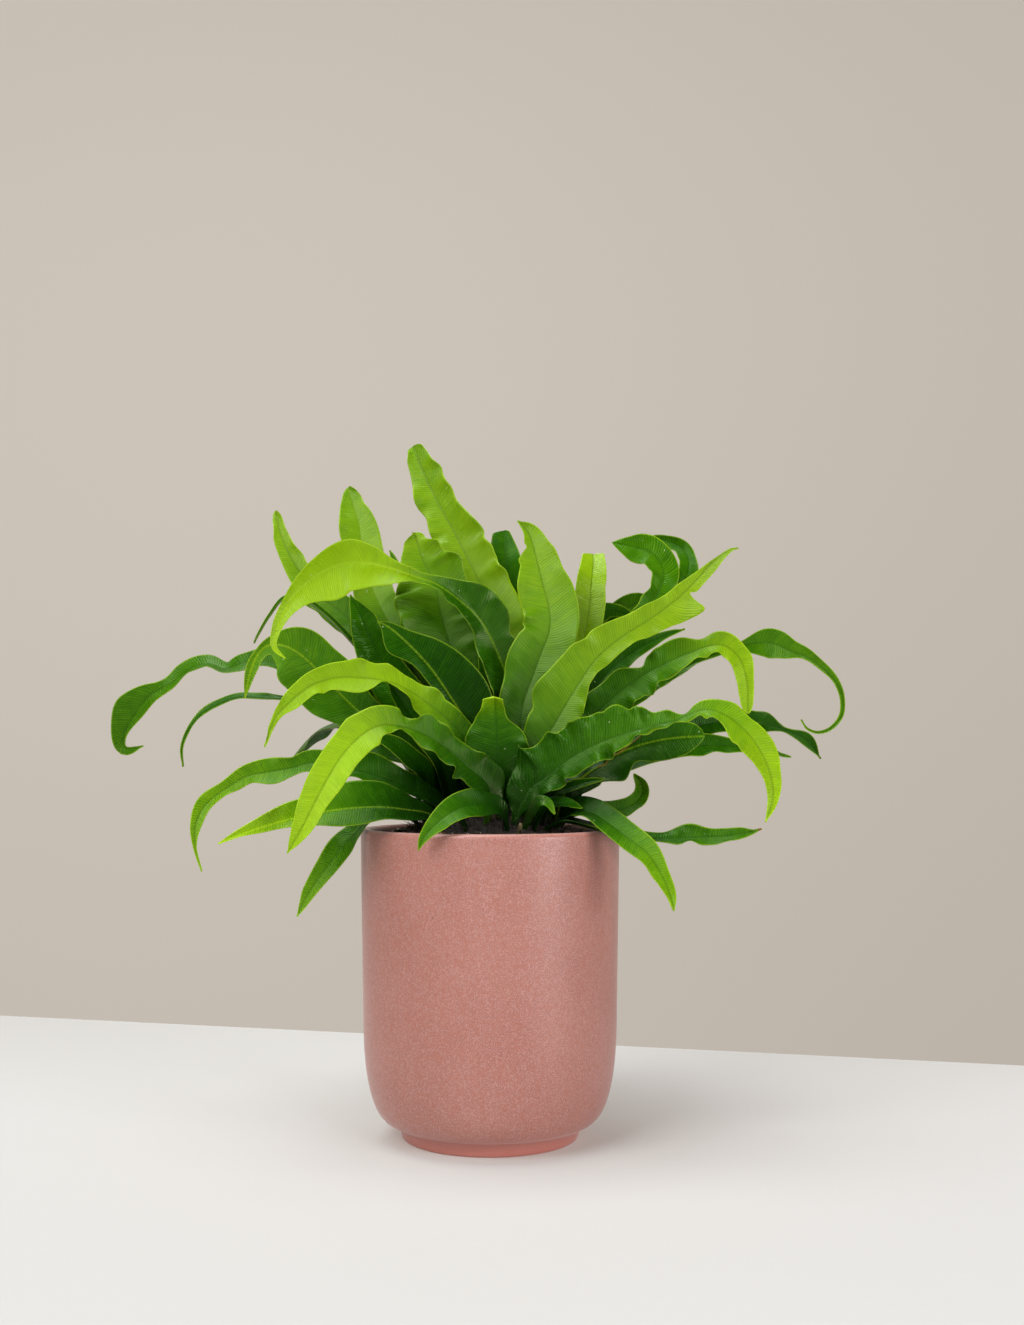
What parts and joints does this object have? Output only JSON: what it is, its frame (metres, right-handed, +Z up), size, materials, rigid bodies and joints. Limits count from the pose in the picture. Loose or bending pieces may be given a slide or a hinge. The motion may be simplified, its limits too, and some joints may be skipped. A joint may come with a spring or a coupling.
{
  "type": "potted bird's nest fern",
  "caption": "Bird's nest fern with wavy strap-shaped fronds rising and arching from a central crown, in a matte ceramic pot with a softly rounded belly and a narrow foot.",
  "frame": {"origin": "centre of the pot's foot, on the surface it stands on", "axes": "+Z up, -Y towards the side the fern is seen from, +X to the right seen from there"},
  "size_m": [0.3834, 0.2274, 0.3609],
  "materials": {
    "pot": "matte dusty pink glaze",
    "soil": "rough",
    "crown": "rough",
    "bright": "satin",
    "yellow": "satin",
    "mid": "satin",
    "dark": "glossy"
  },
  "bodies": {
    "root": {"arch_left": "bright", "back_centre": "dark", "back_frond_1": "mid", "back_frond_2": "dark", "back_frond_3": "mid", "back_frond_4": "dark", "back_frond_5": "mid", "back_frond_6": "dark", "back_frond_7": "mid", "back_frond_8": "dark", "back_hump_1": "dark", "back_hump_2": "mid", "back_right_low": "dark", "back_right_tip": "dark", "bright_mid_left": "yellow", "centre_fill_low": "dark", "centre_spear": "bright", "crinkled_top": "bright", "crown": "crown", "curled_upright": "bright", "far_curl": "mid", "front_left_small": "mid", "glossy_dark": "dark", "hook": "dark", "hook_back": "dark", "left_back_blade": "bright", "left_fill_high": "dark", "left_fill_low": "dark", "left_hanging": "mid", "left_long": "mid", "left_low_flat": "mid", "left_low_wavy": "mid", "left_mid_wide": "mid", "left_spear": "bright", "left_thin_arc": "dark", "low_front_left": "dark", "needle": "dark", "pot": "pot", "right_dark_low": "dark", "right_dark_upper": "dark", "right_diagonal": "bright", "right_hanging": "mid", "right_low": "mid", "right_main": "mid", "right_paddle": "mid", "right_wavy": "mid", "small_curl_right": "mid", "small_front": "mid", "small_tip": "mid", "soil": "soil", "tall_spear": "bright", "tiny_curl": "bright", "torn_blade": "dark", "under_diagonal": "dark", "wide_dark": "dark", "yellow_front": "yellow"}
  },
  "joints": []
}
